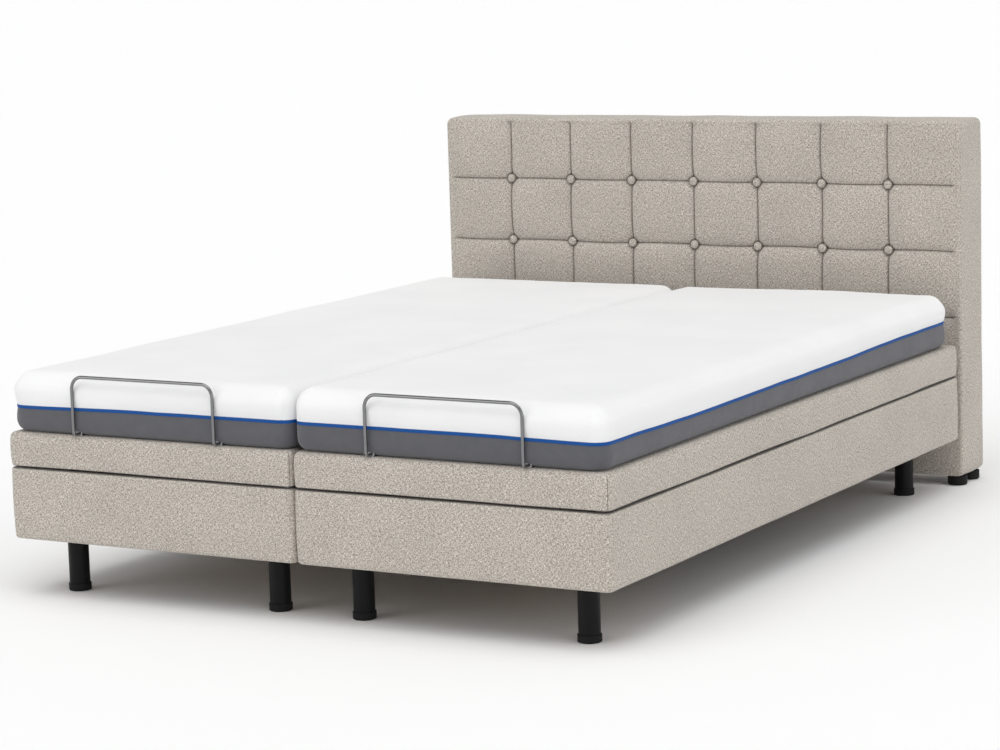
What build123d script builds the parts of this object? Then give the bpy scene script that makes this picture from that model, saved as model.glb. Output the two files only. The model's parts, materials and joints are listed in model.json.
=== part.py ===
from build123d import *
import math
import os

# Adjustable double bed: two independent upholstered bases side by side, each with a folding platform,
# a mattress and two linear actuators, and one tufted headboard behind both.
# Millimetres. +X is to the right seen from the foot, +Y towards the headboard, +Z up, floor at Z = 0.

# ---- driving dimensions -------------------------------------------------------------------------
BED_WIDTH = 1620.0              # both halves, outer side to outer side
HALF_GAP = 4.0                  # slit between the two halves
PLATFORM_LENGTH = 2050.0
LEG_HEIGHT = 138.0
BOX_HEIGHT = 173.0              # fixed upholstered lower box
BOX_WALL = 25.0
FOLD_SLIT = 4.0                 # between the lower box and the folding platform
PAD_HEIGHT = 83.0               # upholstered platform sections
DECK_THICKNESS = 18.0
MATTRESS_HEIGHT = 146.6
MATTRESS_CLEARANCE = 0.4        # mattress above the platform
MATTRESS_CORNER_R = 40.0
SECTION_ENDS = {"calf": 650.0, "thigh": 990.0, "seat": 1240.0, "back": PLATFORM_LENGTH}

HEADBOARD_WIDTH = 1612.0
HEADBOARD_FRONT = 2090.0        # distance of its front face from the platform's foot end
HEADBOARD_THICKNESS = 160.0
HEADBOARD_TOP = 1002.0
HEADBOARD_BOTTOM = 24.0
HEADBOARD_CORNER_R = 26.0
TUFT_PITCH_X = 197.0
TUFT_PITCH_Z = 180.0
TUFT_COLUMNS = 8
TUFT_ROWS = 3

BAR_WIRE = 8.0                  # mattress retainer bar
BAR_SPAN = 401.0
BAR_TOP = 541.0
BAR_OFFSET = 5.0                # wire centre in front of the platform's foot face

# ---- derived levels and places ------------------------------------------------------------------
HALF_WIDTH = (BED_WIDTH - HALF_GAP) / 2
HALF_CENTRE = (HALF_GAP + HALF_WIDTH) / 2
TOTAL_LENGTH = HEADBOARD_FRONT + HEADBOARD_THICKNESS + BAR_OFFSET + BAR_WIRE / 2
FOOT_Y = -TOTAL_LENGTH / 2 + BAR_OFFSET + BAR_WIRE / 2
BOX_TOP = LEG_HEIGHT + BOX_HEIGHT
PAD_BOTTOM = BOX_TOP + FOLD_SLIT
PAD_TOP = PAD_BOTTOM + PAD_HEIGHT
PIVOT_Z = PAD_TOP - 12.0
FOLD_GAP = 10.0                 # half the gap between two platform sections
FRAME_TUBE = 25.0
FRAME_X = 300.0                 # frame tubes and hinges, from the half's centre line
DECK_BOTTOM = PAD_BOTTOM + 2.0
FRAME_TOP = DECK_BOTTOM
FRAME_BOTTOM = FRAME_TOP - FRAME_TUBE
RAIL_BOTTOM, RAIL_TOP = 170.0, 210.0
PIN_R = 5.0
PIN_FIT = 0.05
KNUCKLE_R = 9.0
EAR_THICKNESS = 6.0
MOTOR_X = 90.0                  # the two actuators, either side of the half's centre line
MOTOR_PIVOT_Z = 250.0
LEVER_R = 110.0                 # lift lever, platform pivot to lever pin
BACK_LEVER_REST = math.radians(-15.0)   # from straight down, towards the head
THIGH_LEVER_REST = math.radians(25.0)
MOTOR_REACH = 430.0             # anchor to lever pin along Y, at rest

os.makedirs("parts", exist_ok=True)


# ---- helpers ------------------------------------------------------------------------------------
def at_y(distance):
    """Y of a place given by its distance from the platform's foot end."""
    return FOOT_Y + distance


def block(x, y, z):
    """Box from three (low, high) pairs."""
    size = [high - low for low, high in (x, y, z)]
    centre = [(low + high) / 2 for low, high in (x, y, z)]
    return Pos(*centre) * Box(*size)


def rod_x(x, y, z, radius):
    """Round bar along X between the two values of x."""
    return Pos((x[0] + x[1]) / 2, y, z) * Rot(0, 90, 0) * Cylinder(radius, x[1] - x[0])


def post(x, y, z, radius):
    """Round bar along Z between the two values of z."""
    return Pos(x, y, (z[0] + z[1]) / 2) * Cylinder(radius, z[1] - z[0])


def square_tube(x, y, z, axis, wall=2.0):
    """Hollow rectangular tube, open at both ends along the given axis."""
    spans = {"x": x, "y": y, "z": z}
    inner = {key: span if key == axis else (span[0] + wall, span[1] - wall) for key, span in spans.items()}
    return block(x, y, z) - block(inner["x"], inner["y"], inner["z"])


def plate_yz(points, x):
    """Flat plate with its outline in the YZ plane, between the two values of x."""
    face = Plane.YZ * make_face(Polyline(*points, close=True).edges())
    return Pos(x[0], 0, 0) * extrude(face, x[1] - x[0], dir=(1, 0, 0))


def save(name, solids):
    """One STEP per sub-part; a list of solids stays a list of separate solids."""
    solids = [s for item in solids for s in item.solids()]
    shape = solids[0] if len(solids) == 1 else Compound(children=solids)
    export_step(shape, f"parts/{name}.step")


def both(name, right_half):
    """The right half's sub-part and its mirror image for the left half."""
    save(f"{name}_right", right_half)
    save(f"{name}_left", [mirror(solid, about=Plane.YZ) for solid in right_half])


def shared(name, right_half):
    """One node that holds the right half's solids and their mirror images."""
    save(name, list(right_half) + [mirror(solid, about=Plane.YZ) for solid in right_half])


LOW_X = HALF_GAP / 2
HIGH_X = LOW_X + HALF_WIDTH


# ---- the fixed lower box ------------------------------------------------------------------------
def lower_box():
    """Four upholstered boards; the foot and head boards carry the rounded corners."""
    z = (LEG_HEIGHT, BOX_TOP)
    corner_radius = 14.0
    boards = []
    for y, outer in (((0, BOX_WALL), Axis.Y), ((PLATFORM_LENGTH - BOX_WALL, PLATFORM_LENGTH), -Axis.Y)):
        board = block((LOW_X, HIGH_X), (at_y(y[0]), at_y(y[1])), z)
        corners = board.edges().filter_by(Axis.Z).sort_by(outer)[:2]
        boards.append(fillet(corners, corner_radius))
    side_y = (at_y(BOX_WALL), at_y(PLATFORM_LENGTH - BOX_WALL))
    for x in ((LOW_X, LOW_X + BOX_WALL), (HIGH_X - BOX_WALL, HIGH_X)):
        boards.append(block(x, side_y, z))
    return boards


LEG_INSET_SIDE = 112.0
LEG_INSET_CENTRE = 113.0        # from the half's inner side
LEG_INSET_FOOT = 107.0
LEG_INSET_HEAD = 121.0
LEG_TUBE_R = 25.0
GLIDE_R = 27.5
GLIDE_HEIGHT = 17.0
PLATE_SIZE = 100.0
PLATE_THICKNESS = 5.0
LEG_BOLT_SPACING = 74.0
BOLT_HEAD = 13.0


def leg_places():
    for x in (LOW_X + LEG_INSET_CENTRE, HIGH_X - LEG_INSET_SIDE):
        for y in (at_y(LEG_INSET_FOOT), at_y(PLATFORM_LENGTH - LEG_INSET_HEAD)):
            yield x, y


def leg_tube(x, y):
    z = (3.0, LEG_HEIGHT - PLATE_THICKNESS)
    return post(x, y, z, LEG_TUBE_R) - post(x, y, z, LEG_TUBE_R - 2.0)


def leg_glide(x, y):
    """Moulded cap over the tube's lower end, with a plug inside it."""
    skirt = post(x, y, (0, GLIDE_HEIGHT), GLIDE_R)
    skirt = fillet(skirt.edges().sort_by(Axis.Z)[0], 3.0)
    wall = post(x, y, (3.0, GLIDE_HEIGHT), LEG_TUBE_R) - post(x, y, (3.0, GLIDE_HEIGHT), LEG_TUBE_R - 2.0)
    return skirt - wall


def leg_plate(x, y):
    z = (LEG_HEIGHT - PLATE_THICKNESS, LEG_HEIGHT)
    half = PLATE_SIZE / 2
    plate = block((x - half, x + half), (y - half, y + half), z)
    plate = fillet(plate.edges().filter_by(Axis.Z), 10.0)
    collar_z = (z[0] - 8.0, z[0])
    collar = post(x, y, collar_z, LEG_TUBE_R + 4.0) - post(x, y, collar_z, LEG_TUBE_R)
    return plate + collar


def hex_head(x, y, top, height=5.0):
    return Pos(x, y, top - height) * extrude(RegularPolygon(BOLT_HEAD / 2, 6), height)


def leg_bolts(x, y):
    reach = LEG_BOLT_SPACING / 2
    for dx in (-reach, reach):
        for dy in (-reach, reach):
            yield hex_head(x + dx, y + dy, LEG_HEIGHT - PLATE_THICKNESS)


BAR_PLATE = (30.0, 5.0)         # connecting bar, width and thickness
CONNECT_REACH = 84.0            # half its length, up to the leg tubes


def connecting_bars():
    """Flat bars bolted under the leg plates; they hold the two halves together."""
    top = LEG_HEIGHT - PLATE_THICKNESS
    for y in (at_y(LEG_INSET_FOOT), at_y(PLATFORM_LENGTH - LEG_INSET_HEAD)):
        width = BAR_PLATE[0] / 2
        yield block((-CONNECT_REACH, CONNECT_REACH), (y - width, y + width), (top - BAR_PLATE[1], top))


def connecting_bolts():
    top = LEG_HEIGHT - PLATE_THICKNESS - BAR_PLATE[1]
    for y in (at_y(LEG_INSET_FOOT), at_y(PLATFORM_LENGTH - LEG_INSET_HEAD)):
        yield hex_head(LOW_X + 71.0, y, top)


def corner_blocks():
    size = 150.0
    z = (LEG_HEIGHT, RAIL_BOTTOM)
    inner = (LOW_X + BOX_WALL, HIGH_X - BOX_WALL)
    ends = (at_y(BOX_WALL), at_y(PLATFORM_LENGTH - BOX_WALL))
    for x in ((inner[0], inner[0] + size), (inner[1] - size, inner[1])):
        for y in ((ends[0], ends[0] + size), (ends[1] - size, ends[1])):
            yield block(x, y, z)


# ---- the fixed steel frame inside each box ------------------------------------------------------
BACK_LEVER_Y = SECTION_ENDS["seat"] + LEVER_R * math.sin(BACK_LEVER_REST)
THIGH_LEVER_Y = SECTION_ENDS["thigh"] + LEVER_R * math.sin(THIGH_LEVER_REST)
BACK_MOTOR_Y = BACK_LEVER_Y - MOTOR_REACH
THIGH_MOTOR_Y = THIGH_LEVER_Y + MOTOR_REACH
BEAM = 40.0
SEAT_BEAMS = (SECTION_ENDS["thigh"] + 35.0, SECTION_ENDS["seat"] - 35.0)
ANCHOR_BEAMS = (BACK_MOTOR_Y, THIGH_MOTOR_Y)
END_BEAMS = (80.0, PLATFORM_LENGTH - 80.0)
ANCHOR_LUG = 24.0               # width of the actuator's rear eye


def motor_anchor(x, y):
    """Two upright lugs on a beam and the pin between them."""
    lugs = []
    for side in (-1, 1):
        inner = x + side * (ANCHOR_LUG / 2 + 1.0)
        outer = inner + side * 6.0
        span = (min(inner, outer), max(inner, outer))
        lug = block(span, (y - 15.0, y + 15.0), (RAIL_TOP, MOTOR_PIVOT_Z))
        lug += rod_x(span, y, MOTOR_PIVOT_Z, 15.0)
        lugs.append(lug - rod_x(span, y, MOTOR_PIVOT_Z, PIN_R))
    pin = rod_x((x - ANCHOR_LUG / 2 - 7.0, x + ANCHOR_LUG / 2 + 7.0), y, MOTOR_PIVOT_Z, PIN_R)
    return lugs + [pin]


def base_frame():
    z = (RAIL_BOTTOM, RAIL_TOP)
    rail_width = 25.0
    inner = (LOW_X + BOX_WALL, HIGH_X - BOX_WALL)
    run = (at_y(BOX_WALL), at_y(PLATFORM_LENGTH - BOX_WALL))
    pieces = [square_tube(x, run, z, "y") for x in
              ((inner[0], inner[0] + rail_width), (inner[1] - rail_width, inner[1]))]
    across = (inner[0] + rail_width, inner[1] - rail_width)
    for y in END_BEAMS + SEAT_BEAMS + ANCHOR_BEAMS:
        pieces.append(square_tube(across, (at_y(y) - BEAM / 2, at_y(y) + BEAM / 2), z, "x"))
    half = FRAME_TUBE / 2
    bearer_y = (at_y(SECTION_ENDS["thigh"] + FOLD_GAP + 4), at_y(SECTION_ENDS["seat"] - FOLD_GAP - 4))
    for side in (-1, 1):
        x = HALF_CENTRE + side * FRAME_X
        pieces.append(square_tube((x - half, x + half), bearer_y, (FRAME_BOTTOM, FRAME_TOP), "y"))
        for y in SEAT_BEAMS:
            pieces.append(square_tube((x - half, x + half), (at_y(y) - half, at_y(y) + half),
                                      (RAIL_TOP, FRAME_BOTTOM), "z"))
        pieces.append(hinge_ear(side, SECTION_ENDS["thigh"], 1, 1, FOLD_GAP + 4))
        pieces.append(hinge_ear(side, SECTION_ENDS["seat"], -1, 1, FOLD_GAP + 4))
    pieces += motor_anchor(HALF_CENTRE - MOTOR_X, at_y(BACK_MOTOR_Y))
    pieces += motor_anchor(HALF_CENTRE + MOTOR_X, at_y(THIGH_MOTOR_Y))
    return pieces


# ---- hinges between the platform sections -------------------------------------------------------
PIN_HALF_LENGTH = FRAME_X + 16.0
RELIEF_GAP = 52.0               # frame tubes stand this far off the knee fold


def ear_span(side, layer):
    """X span of an ear: layer 1 is fixed to the parent section and -1 to the section that turns."""
    x = HALF_CENTRE + side * FRAME_X
    return (x + 1.0, x + 1.0 + EAR_THICKNESS) if layer > 0 else (x - 1.0 - EAR_THICKNESS, x - 1.0)


def hinge_ear(side, fold, direction, layer, reach):
    """Steel ear from a frame tube's end up to the pivot; direction is the side of the fold it is on."""
    span = ear_span(side, layer)
    near, far = direction * reach, direction * (reach + 26.0)
    low, high = FRAME_BOTTOM, FRAME_TOP
    edge = KNUCKLE_R * 0.9
    outline = [(at_y(fold) - direction * edge * 0.4, PIVOT_Z - edge), (at_y(fold) + near, low),
               (at_y(fold) + far, low), (at_y(fold) + far, high), (at_y(fold) + direction * edge, PIVOT_Z)]
    ear = plate_yz(outline, span) + rod_x(span, at_y(fold), PIVOT_Z, KNUCKLE_R)
    return ear - rod_x(span, at_y(fold), PIVOT_Z, PIN_R + PIN_FIT)


def ear_slot(side, fold, direction, layer, reach):
    """Pocket in a pad and its deck board around an ear."""
    span = ear_span(side, layer)
    y = sorted((at_y(fold), at_y(fold) + direction * (reach + 30.0)))
    top = PIVOT_Z + KNUCKLE_R + 1.0
    return block((span[0] - 1.0, span[1] + 1.0), tuple(y), (PAD_BOTTOM - 1.0, top))


def hinge_pin(fold):
    span = (HALF_CENTRE - PIN_HALF_LENGTH, HALF_CENTRE + PIN_HALF_LENGTH)
    return rod_x(span, at_y(fold), PIVOT_Z, PIN_R)


# ---- platform sections --------------------------------------------------------------------------
CONCAVE_REACH = FOLD_GAP + 4.0
PAD_RELIEF = 40.0               # how far the pads' lower edges stand off the knee fold
SECTIONS = {
    # name: (from, to, fold at its foot side, fold at its head side)
    "calf": (0.0, SECTION_ENDS["calf"], None, "knee"),
    "thigh": (SECTION_ENDS["calf"], SECTION_ENDS["thigh"], "knee", "plain"),
    "seat": (SECTION_ENDS["thigh"], SECTION_ENDS["seat"], "plain", "plain"),
    "back": (SECTION_ENDS["seat"], SECTION_ENDS["back"], "plain", None),
}
# which ear layer each section carries at its foot-side and head-side fold
EAR_LAYERS = {"calf": (None, -1), "thigh": (1, -1), "seat": (1, 1), "back": (-1, None)}
END_ROUNDING = 22.0
TOP_ROUNDING = 10.0
SEAM = 0.3                      # mattress sections stop this far from a fold
PAD_SWING = 7.0                 # and this far where the raised back pad's top edge swings past


def fold_reach(kind):
    return RELIEF_GAP if kind == "knee" else CONCAVE_REACH


def section_slots(name):
    start, end, low_kind, high_kind = SECTIONS[name]
    low_layer, high_layer = EAR_LAYERS[name]
    for side in (-1, 1):
        if low_layer:
            yield ear_slot(side, start, 1, low_layer, fold_reach(low_kind))
        if high_layer:
            yield ear_slot(side, end, -1, high_layer, fold_reach(high_kind))


def section_pad(name):
    """Foam and fabric over the deck board; its underside is hollowed for the board."""
    start, end, low_kind, high_kind = SECTIONS[name]
    y = (at_y(start + (FOLD_GAP if low_kind else 0)), at_y(end - (FOLD_GAP if high_kind else 0)))
    pad = block((LOW_X, HIGH_X), y, (PAD_BOTTOM, PAD_TOP))
    if not low_kind or not high_kind:
        outer = Axis.Y if not low_kind else -Axis.Y
        pad = fillet(pad.edges().filter_by(Axis.Z).sort_by(outer)[:2], END_ROUNDING)
        top = pad.faces().sort_by(Axis.Z)[-1]
        free_edges = top.edges().filter_by(lambda edge: not on_fold(edge, y, low_kind))
        pad = fillet(free_edges, TOP_ROUNDING)
    for kind, fold, direction in ((low_kind, start, 1), (high_kind, end, -1)):
        if kind == "knee":
            edge = at_y(fold) + direction * FOLD_GAP
            foot = at_y(fold) + direction * PAD_RELIEF
            wedge = plate_yz([(edge, PIVOT_Z), (edge - direction, PIVOT_Z), (edge - direction, PAD_BOTTOM - 1),
                              (foot, PAD_BOTTOM - 1), (foot, PAD_BOTTOM)], (LOW_X - 1, HIGH_X + 1))
            pad -= wedge
    pad -= deck_block(name, 0.0)
    for slot in section_slots(name):
        pad -= slot
    return pad


def on_fold(edge, y, low_kind):
    """True for a top edge that lies on the section's fold face."""
    fold_y = y[0] if low_kind else y[1]
    return all(abs(vertex.Y - fold_y) < 0.1 for vertex in edge.vertices())


def deck_block(name, shrink):
    start, end, low_kind, high_kind = SECTIONS[name]
    reach = {None: 14.0, "plain": CONCAVE_REACH, "knee": PAD_RELIEF + 4.0}
    y = (at_y(start + reach[low_kind] + shrink), at_y(end - reach[high_kind] - shrink))
    bottom = DECK_BOTTOM if shrink else PAD_BOTTOM - 1.0
    return block((LOW_X + 14.0 + shrink, HIGH_X - 14.0 - shrink), y, (bottom, DECK_BOTTOM + DECK_THICKNESS))


def section_deck(name):
    board = deck_block(name, 0.2)
    for slot in section_slots(name):
        board -= slot
    return board


def clip_places():
    return HALF_CENTRE - BAR_SPAN / 2, HALF_CENTRE + BAR_SPAN / 2


def section_mattress(name):
    """One block of the mattress; its foot edge is pocketed around the retainer bar's clips."""
    start, end, low_kind, high_kind = SECTIONS[name]
    inset_centre, inset_side, inset_foot, inset_head = -0.5, 8.0, 2.0, 45.0
    low_seam = SEAM if low_kind else inset_foot
    high_seam = {"seat": PAD_SWING, "back": inset_head}.get(name, SEAM)
    y = (at_y(start + low_seam), at_y(end - high_seam))
    z = (PAD_TOP + MATTRESS_CLEARANCE, PAD_TOP + MATTRESS_CLEARANCE + MATTRESS_HEIGHT)
    mattress = block((LOW_X + inset_centre, HIGH_X - inset_side), y, z)
    if not low_kind or not high_kind:
        outer = Axis.Y if not low_kind else -Axis.Y
        mattress = fillet(mattress.edges().filter_by(Axis.Z).sort_by(outer)[:2], MATTRESS_CORNER_R)
    if not low_kind:
        for x in clip_places():
            mattress -= block((x - 13.5, x + 13.5), (at_y(0), at_y(28.0)), (PAD_TOP, PAD_TOP + BAR_WIRE + 4.5))
    return mattress


# ---- moving steel frames ------------------------------------------------------------------------
def side_tubes(start, end):
    half = FRAME_TUBE / 2
    for side in (-1, 1):
        x = HALF_CENTRE + side * FRAME_X
        yield square_tube((x - half, x + half), (at_y(start), at_y(end)), (FRAME_BOTTOM, FRAME_TOP), "y")


def cross_tube(y):
    reach = FRAME_X - FRAME_TUBE / 2
    x = (HALF_CENTRE - reach, HALF_CENTRE + reach)
    return square_tube(x, (at_y(y), at_y(y) + FRAME_TUBE), (FRAME_BOTTOM, FRAME_TOP), "x")


LEVER_GAP = 9.0                 # half the space between a lever's two plates
LEVER_PLATE = 6.0


def lift_lever(x, fold, direction, rest_angle):
    """Two plates under a cross tube and the pin that the actuator's rod end pushes."""
    pin_y = at_y(fold) + LEVER_R * math.sin(rest_angle)
    pin_z = PIVOT_Z - LEVER_R * math.cos(rest_angle)
    near, far = at_y(fold) + direction * 16.0, at_y(fold) + direction * 46.0
    pieces = []
    for side in (-1, 1):
        inner, outer = x + side * LEVER_GAP, x + side * (LEVER_GAP + LEVER_PLATE)
        span = (min(inner, outer), max(inner, outer))
        outline = [(far, FRAME_BOTTOM), (near, FRAME_BOTTOM), (pin_y, pin_z + 11.0), (pin_y, pin_z - 11.0),
                   (far, FRAME_BOTTOM - 14.0)]
        plate = plate_yz(outline, span) + rod_x(span, pin_y, pin_z, 11.0)
        pieces.append(plate - rod_x(span, pin_y, pin_z, PIN_R))
    reach = LEVER_GAP + LEVER_PLATE + 3.0
    pieces.append(rod_x((x - reach, x + reach), pin_y, pin_z, PIN_R))
    return pieces


def back_frame():
    fold = SECTION_ENDS["seat"]
    pieces = list(side_tubes(fold + CONCAVE_REACH, PLATFORM_LENGTH - 60.0))
    pieces += [cross_tube(y) for y in (fold + 18.0, fold + 380.0, PLATFORM_LENGTH - 110.0)]
    pieces += [hinge_ear(side, fold, 1, -1, CONCAVE_REACH) for side in (-1, 1)]
    return pieces + lift_lever(HALF_CENTRE - MOTOR_X, fold, 1, BACK_LEVER_REST)


def thigh_frame():
    """The thigh section also carries the knee hinge's pin."""
    low, high = SECTION_ENDS["calf"], SECTION_ENDS["thigh"]
    pieces = list(side_tubes(low + RELIEF_GAP, high - CONCAVE_REACH))
    pieces += [cross_tube(low + RELIEF_GAP + 4.0), cross_tube(high - 18.0 - FRAME_TUBE)]
    for side in (-1, 1):
        pieces.append(hinge_ear(side, low, 1, 1, RELIEF_GAP))
        pieces.append(hinge_ear(side, high, -1, -1, CONCAVE_REACH))
    pieces.append(hinge_pin(low))
    return pieces + lift_lever(HALF_CENTRE + MOTOR_X, high, -1, THIGH_LEVER_REST)


def calf_frame():
    fold = SECTION_ENDS["calf"]
    pieces = list(side_tubes(60.0, fold - RELIEF_GAP))
    pieces += [cross_tube(y) for y in (70.0, fold - RELIEF_GAP - FRAME_TUBE - 4.0)]
    return pieces + [hinge_ear(side, fold, -1, -1, RELIEF_GAP) for side in (-1, 1)]


# ---- linear actuators ---------------------------------------------------------------------------
MOTOR_TUBE_R = 17.0
MOTOR_CAN_R = 27.0
ROD_R = 10.0
ROD_OVERLAP = 120.0             # rod left inside the actuator's tube at rest
SLOT_HALF_HEIGHT = 16.5
SLOT_HALF_WIDTH = 7.5


def along(anchor, tip, part):
    """Carry a part modelled along +Y from the origin onto the line from anchor to tip."""
    dy, dz = tip[0] - anchor[0], tip[1] - anchor[1]
    return Pos(0, anchor[0], anchor[1]) * Rot(math.degrees(math.atan2(dz, dy)), 0, 0) * part


def rod_y(x, y, z, radius):
    return Pos(x, (y[0] + y[1]) / 2, z) * Rot(90, 0, 0) * Cylinder(radius, y[1] - y[0])


def actuator(x, anchor, tip, can_side):
    """The actuator's body with its rear eye, gearbox, motor can and tube, and its rod with a slotted end."""
    reach = math.hypot(tip[0] - anchor[0], tip[1] - anchor[1])
    half_eye = ANCHOR_LUG / 2
    tube_end = reach - 50.0
    eye = rod_x((x - half_eye, x + half_eye), 0, 0, 14.0) + block((x - half_eye, x + half_eye), (0, 34), (-14, 14))
    gearbox = block((x - 26, x + 26), (30, 112), (-24, 24))
    gearbox = fillet(gearbox.edges().filter_by(Axis.Y), 8.0)
    can_x = x + can_side * 52.0
    can = rod_y(can_x, (44, 156), 0, MOTOR_CAN_R)
    can = fillet(can.edges(), 4.0)
    tube = rod_y(x, (110, tube_end), 0, MOTOR_TUBE_R)
    gland = rod_y(x, (tube_end - 16, tube_end), 0, MOTOR_TUBE_R + 3.0)
    body = eye + gearbox + can + tube + gland
    body -= rod_x((x - half_eye, x + half_eye), 0, 0, PIN_R + PIN_FIT)
    body -= rod_y(x, (tube_end - ROD_OVERLAP - 6.0, tube_end + 1.0), 0, ROD_R + 0.3)
    head_half = 7.0
    rod = rod_y(x, (tube_end - ROD_OVERLAP, reach - 12.0), 0, ROD_R)
    head = block((x - head_half, x + head_half), (reach - 16.0, reach + 16.0), (-25.0, 25.0))
    head = fillet(head.edges().filter_by(Axis.X), 6.0)
    rod = rod + head
    straight = SLOT_HALF_HEIGHT - SLOT_HALF_WIDTH
    slot = block((x - 10, x + 10), (reach - SLOT_HALF_WIDTH, reach + SLOT_HALF_WIDTH), (-straight, straight))
    for dz in (-straight, straight):
        slot += rod_x((x - 10, x + 10), reach, dz, SLOT_HALF_WIDTH)
    rod -= slot
    return along(anchor, tip, body), along(anchor, tip, rod)


def lever_tip(fold, rest_angle):
    return at_y(fold) + LEVER_R * math.sin(rest_angle), PIVOT_Z - LEVER_R * math.cos(rest_angle)


# ---- retainer bar -------------------------------------------------------------------------------
def retainer_bar():
    """Bent wire: up from a clip on the pad, across, and down to the other clip."""
    y_front, y_clip = at_y(-BAR_OFFSET), at_y(22.0)
    z_foot, z_top = PAD_TOP + BAR_WIRE / 2, BAR_TOP
    left, right = clip_places()
    path = FilletPolyline((left, y_clip, z_foot), (left, y_front, z_foot), (left, y_front, z_top),
                          (right, y_front, z_top), (right, y_front, z_foot), (right, y_clip, z_foot),
                          radius=[9.0, 30.0, 30.0, 9.0])
    start = Plane(origin=path @ 0, z_dir=path % 0)
    return sweep(start * Circle(BAR_WIRE / 2), path=path)


def retainer_clips():
    z = (PAD_TOP, PAD_TOP + BAR_WIRE + 3.0)
    for x in clip_places():
        clip = block((x - 12.0, x + 12.0), (at_y(10.0), at_y(26.0)), z)
        clip = fillet(clip.edges().filter_by(Axis.Z), 3.0)
        yield clip - rod_y(x, (at_y(9.0), at_y(22.0)), PAD_TOP + BAR_WIRE / 2, BAR_WIRE / 2)


# ---- headboard ----------------------------------------------------------------------------------
CUSHION_DEPTH = 30.0
FRONT_Y = at_y(HEADBOARD_FRONT)
REAR_Y = FRONT_Y + HEADBOARD_THICKNESS
BUTTON_R = 11.0
HEADBOARD_FOOT_R = 27.0
HEADBOARD_FOOT_INSET = 1.0


def headboard_frame():
    half = HEADBOARD_WIDTH / 2
    core = block((-half, half), (FRONT_Y + CUSHION_DEPTH, REAR_Y), (HEADBOARD_BOTTOM, HEADBOARD_TOP))
    return fillet(core.edges().filter_by(Axis.Y), HEADBOARD_CORNER_R)


def button_places():
    for row in range(TUFT_ROWS):
        for column in range(1, TUFT_COLUMNS):
            x = (column - TUFT_COLUMNS / 2) * TUFT_PITCH_X
            yield x, HEADBOARD_TOP - 2.0 - (row + 1) * TUFT_PITCH_Z


def headboard_cushion():
    half = HEADBOARD_WIDTH / 2
    pad = block((-half, half), (FRONT_Y, FRONT_Y + CUSHION_DEPTH), (HEADBOARD_BOTTOM, HEADBOARD_TOP))
    pad = fillet(pad.edges().filter_by(Axis.Y), HEADBOARD_CORNER_R)
    for x, z in button_places():
        pad -= rod_y(x, (FRONT_Y - 1.0, FRONT_Y + 12.0), z, BUTTON_R + 2.0)
    return pad


def headboard_button(x, z):
    button = rod_y(x, (FRONT_Y + 4.0, FRONT_Y + 12.0), z, BUTTON_R)
    return fillet(button.edges().sort_by(Axis.Y)[0], 3.5)


def headboard_feet():
    x = HEADBOARD_WIDTH / 2 - HEADBOARD_FOOT_R - HEADBOARD_FOOT_INSET
    for y in (FRONT_Y + 30.0, REAR_Y - 38.0):
        foot = post(x, y, (0, HEADBOARD_BOTTOM), HEADBOARD_FOOT_R)
        yield fillet(foot.edges().sort_by(Axis.Z)[0], 6.0)


def headboard_brackets():
    """H-shaped steel brackets between each box's head board and the headboard."""
    box_end = at_y(PLATFORM_LENGTH)
    plate, width, z = 5.0, 30.0, (190.0, 280.0)
    for x in (HALF_CENTRE - 230.0, HALF_CENTRE + 230.0):
        span = (x - width, x + width)
        bracket = block(span, (box_end, box_end + plate), z) + block(span, (FRONT_Y - plate, FRONT_Y), z)
        yield bracket + block((x - 3.0, x + 3.0), (box_end, FRONT_Y), z)


# ---- electrics ----------------------------------------------------------------------------------
def control_box():
    """Control box under the seat, with its mains inlet on the outer side."""
    y = (at_y(SECTION_ENDS["thigh"] + 62.0), at_y(SECTION_ENDS["seat"] - 62.0))
    x = (HALF_CENTRE + 150.0, HALF_CENTRE + 262.0)
    z = (RAIL_TOP - 20.0, RAIL_TOP + 34.0)
    case = block(x, y, z)
    case = fillet(case.edges().filter_by(Axis.Z), 8.0)
    middle = (y[0] + y[1]) / 2
    recess = block((x[1] - 14.0, x[1] + 1.0), (middle - 14.0, middle + 14.0), (z[0] + 18.0, z[0] + 38.0))
    pins = [Pos(x[1] - 9.0, middle + dy, z[0] + 28.0) * Box(10.0, 2.0, 4.0) for dy in (-7.0, 0.0, 7.0)]
    return [case - recess] + pins


# ---- write the sub-parts ------------------------------------------------------------------------
both("base_box", lower_box())
both("base_frame", base_frame())
for section in SECTIONS:
    both(f"{section}_pad", [section_pad(section)])
    both(f"{section}_deck", [section_deck(section)])
    both(f"{section}_mattress", [section_mattress(section)])
both("back_frame", back_frame())
both("thigh_frame", thigh_frame())
both("calf_frame", calf_frame())

back_body, back_rod = actuator(HALF_CENTRE - MOTOR_X, (at_y(BACK_MOTOR_Y), MOTOR_PIVOT_Z),
                               lever_tip(SECTION_ENDS["seat"], BACK_LEVER_REST), -1)
leg_body, leg_rod = actuator(HALF_CENTRE + MOTOR_X, (at_y(THIGH_MOTOR_Y), MOTOR_PIVOT_Z),
                             lever_tip(SECTION_ENDS["thigh"], THIGH_LEVER_REST), 1)
both("back_actuator", [back_body])
both("back_rod", [back_rod])
both("leg_actuator", [leg_body])
both("leg_rod", [leg_rod])
both("retainer_bar", [retainer_bar()])
both("retainer_clips", list(retainer_clips()))

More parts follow.
